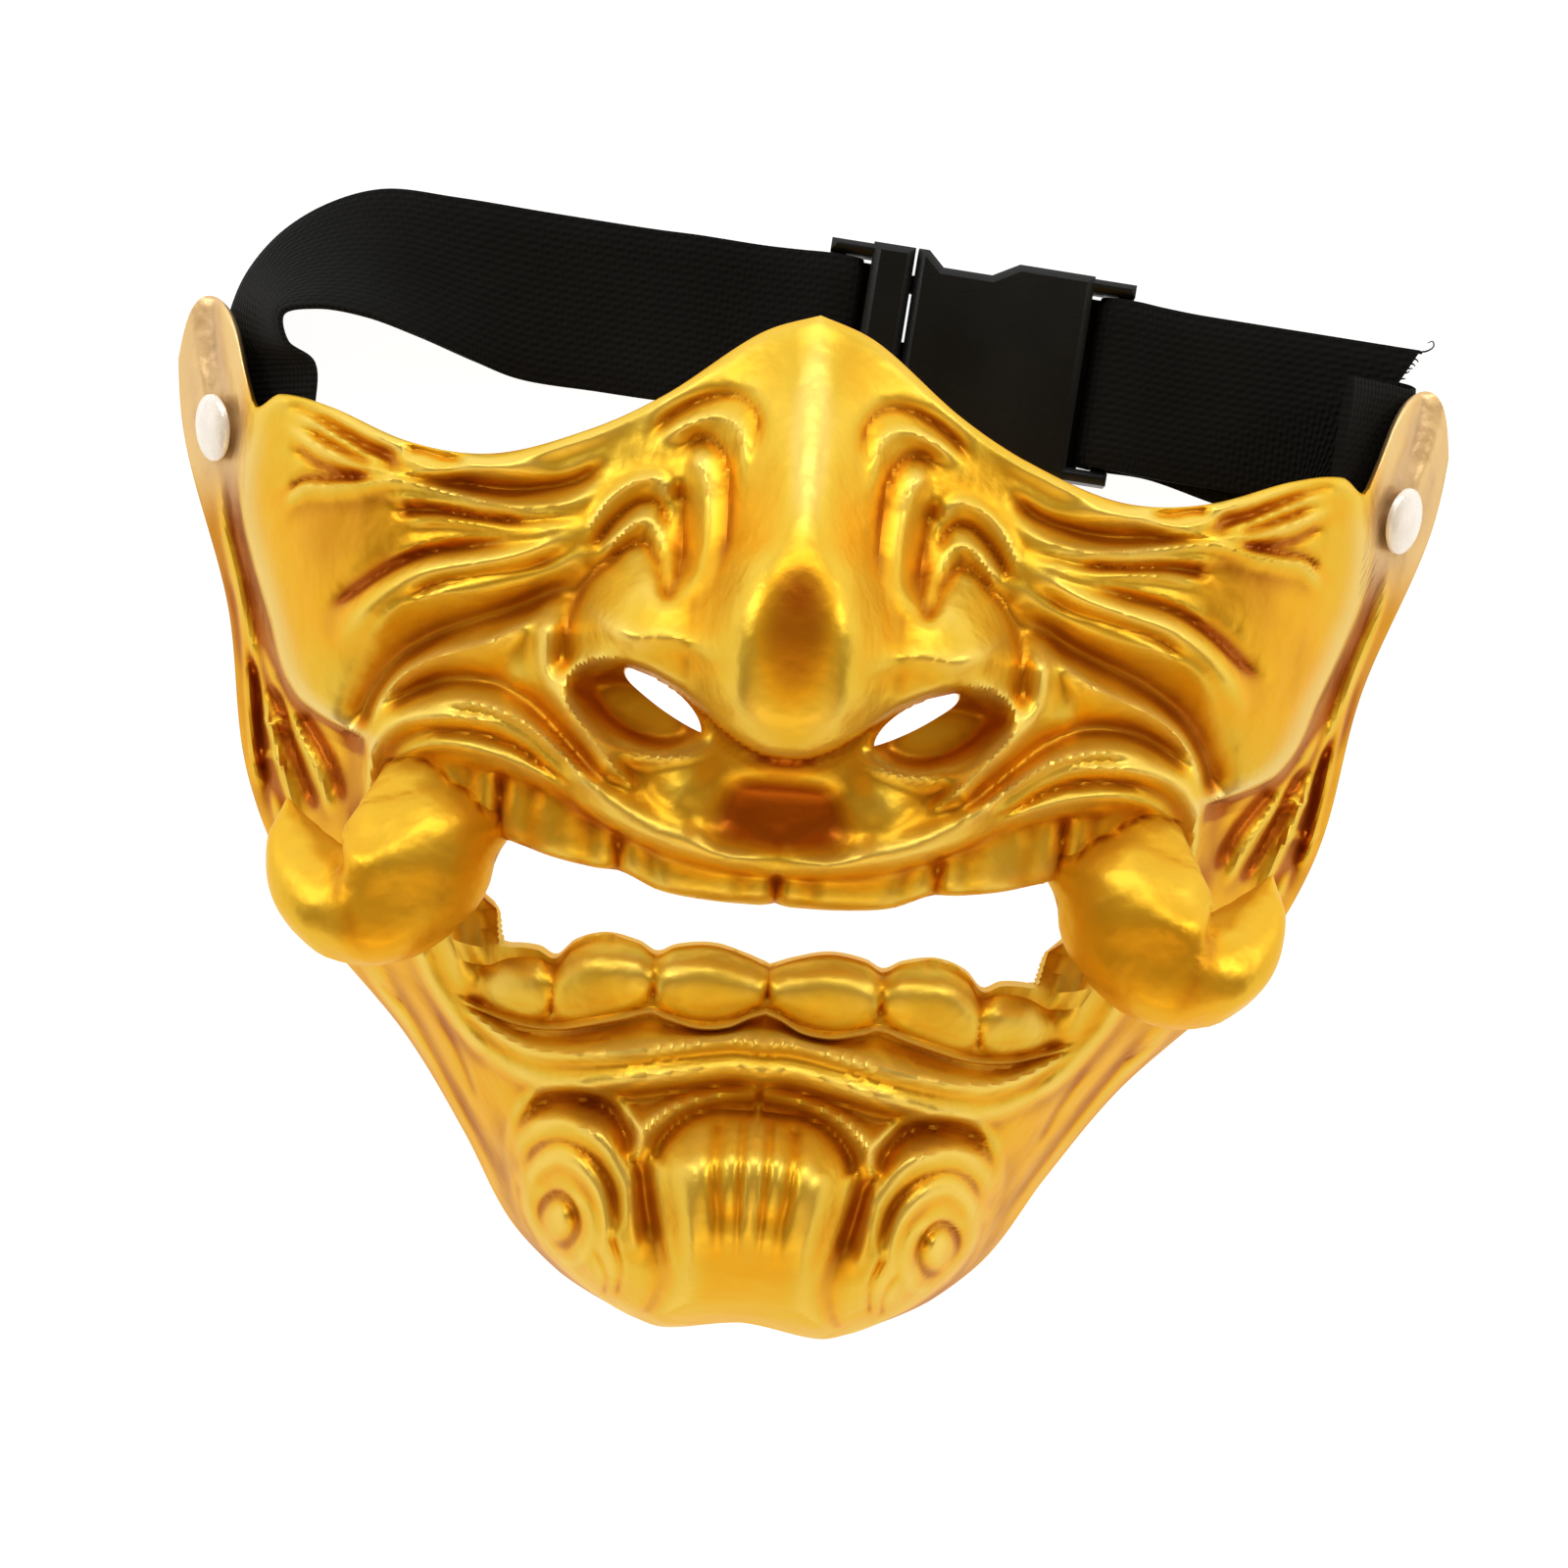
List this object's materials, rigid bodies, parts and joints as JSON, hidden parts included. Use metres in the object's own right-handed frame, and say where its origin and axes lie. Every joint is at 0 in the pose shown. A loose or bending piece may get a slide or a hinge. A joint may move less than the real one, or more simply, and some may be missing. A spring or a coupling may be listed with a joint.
{
  "type": "snarling half mask",
  "caption": "Gold snarling half mask for the lower face, with bared teeth, curled tusks, carved chin and cheeks, and a black webbing head strap with a side-release buckle.",
  "frame": {"origin": "on the floor, under the middle of the whole object's bounding box", "axes": "+X to the right as the face is seen from the front, which is the wearer's left; +Y from the chin towards the forehead; +Z out of the face, up from the floor"},
  "size_m": [0.1884, 0.1622, 0.0929],
  "materials": {
    "gold_paint": "satin metallic gold paint over cast resin",
    "rivet_white": "smooth pale silver",
    "webbing_black": "finely ribbed woven webbing",
    "plastic_black": "satin moulded plastic"
  },
  "bodies": {
    "root": {"mask_shell": "gold_paint", "rivet_right": "rivet_white", "rivet_left": "rivet_white", "strap_left": "webbing_black", "strap_right": "webbing_black", "buckle_male": "plastic_black", "buckle_female": "plastic_black"}
  },
  "joints": []
}
